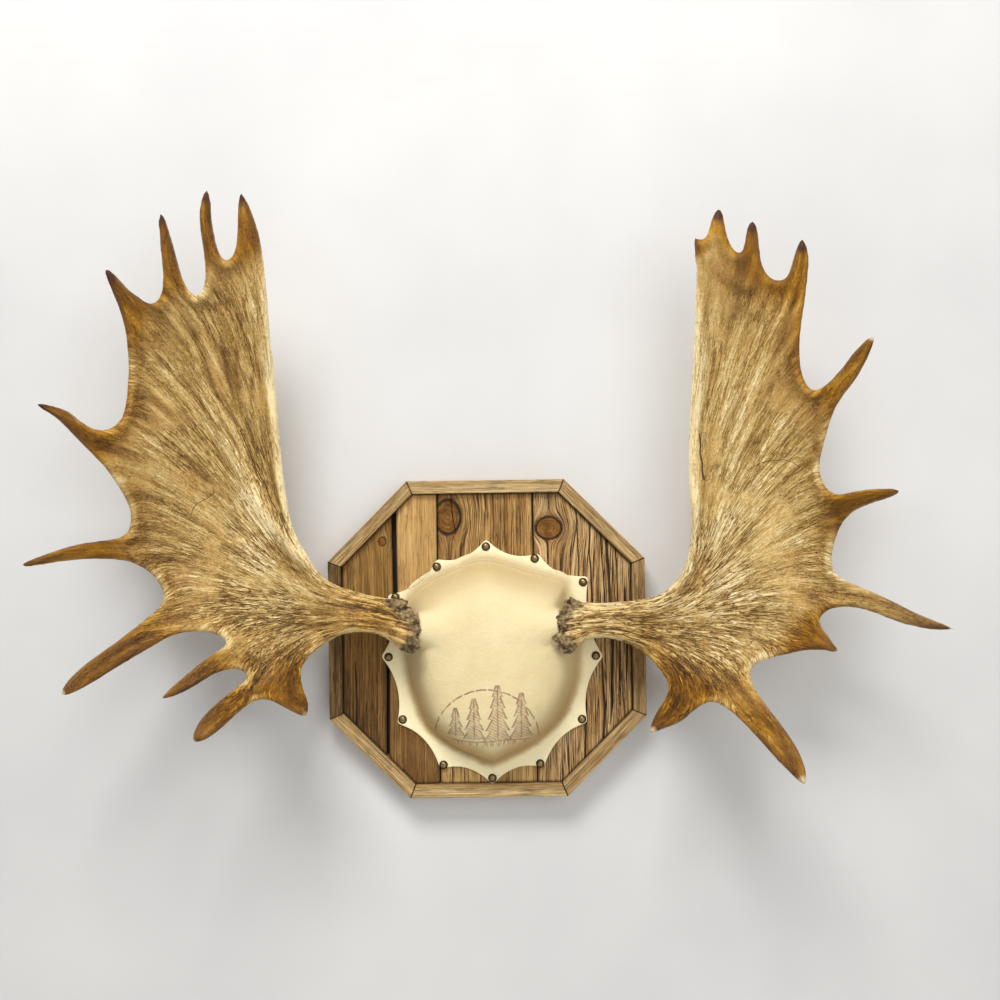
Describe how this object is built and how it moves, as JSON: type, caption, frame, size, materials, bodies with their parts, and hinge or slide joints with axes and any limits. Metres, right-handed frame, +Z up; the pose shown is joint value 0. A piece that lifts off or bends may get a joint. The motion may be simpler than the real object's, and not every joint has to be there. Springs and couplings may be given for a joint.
{
  "type": "moose antler wall mount",
  "caption": "Pair of palmate moose antlers on an octagonal wooden wall plaque, with a tacked leather cover over the skull plate.",
  "frame": {"origin": "middle of the plaque's back face, on the wall", "axes": "+Z up, +Y into the wall, +X to the right of someone who faces the plaque"},
  "size_m": [1.1795, 0.2689, 0.8444],
  "materials": {
    "antler": "dry bone with a satin sheen, pores and grooves",
    "skull_bone": "dry matt bone",
    "leather": "smooth cream leather",
    "tack": "antique brass, dark in the hollows",
    "board": "old weathered barn boards, cracked",
    "trim": "plain sawn strips, matt",
    "backing": "plain plywood",
    "steel": "zinc plated"
  },
  "bodies": {
    "root": {"backing_board": "backing", "skull_plate": "skull_bone", "leather_cover": "leather", "hanger_plate": "steel", "board_1": "board", "board_2": "board", "board_3": "board", "board_4": "board", "trim_1": "trim", "trim_2": "trim", "trim_3": "trim", "trim_4": "trim", "trim_5": "trim", "trim_6": "trim", "trim_7": "trim", "trim_8": "trim", "tack_1": "tack", "tack_2": "tack", "tack_3": "tack", "tack_4": "tack", "tack_5": "tack", "tack_6": "tack", "tack_7": "tack", "tack_8": "tack", "tack_9": "tack", "tack_10": "tack", "tack_11": "tack", "tack_12": "tack", "skull_screw_1": "steel", "skull_screw_2": "steel", "hanger_screw_1": "steel", "hanger_screw_2": "steel", "left_antler_beam": "antler", "left_antler_palm": "antler", "left_antler_brow_palm": "antler", "right_antler_beam": "antler", "right_antler_palm": "antler", "right_antler_brow_palm": "antler"}
  },
  "joints": []
}
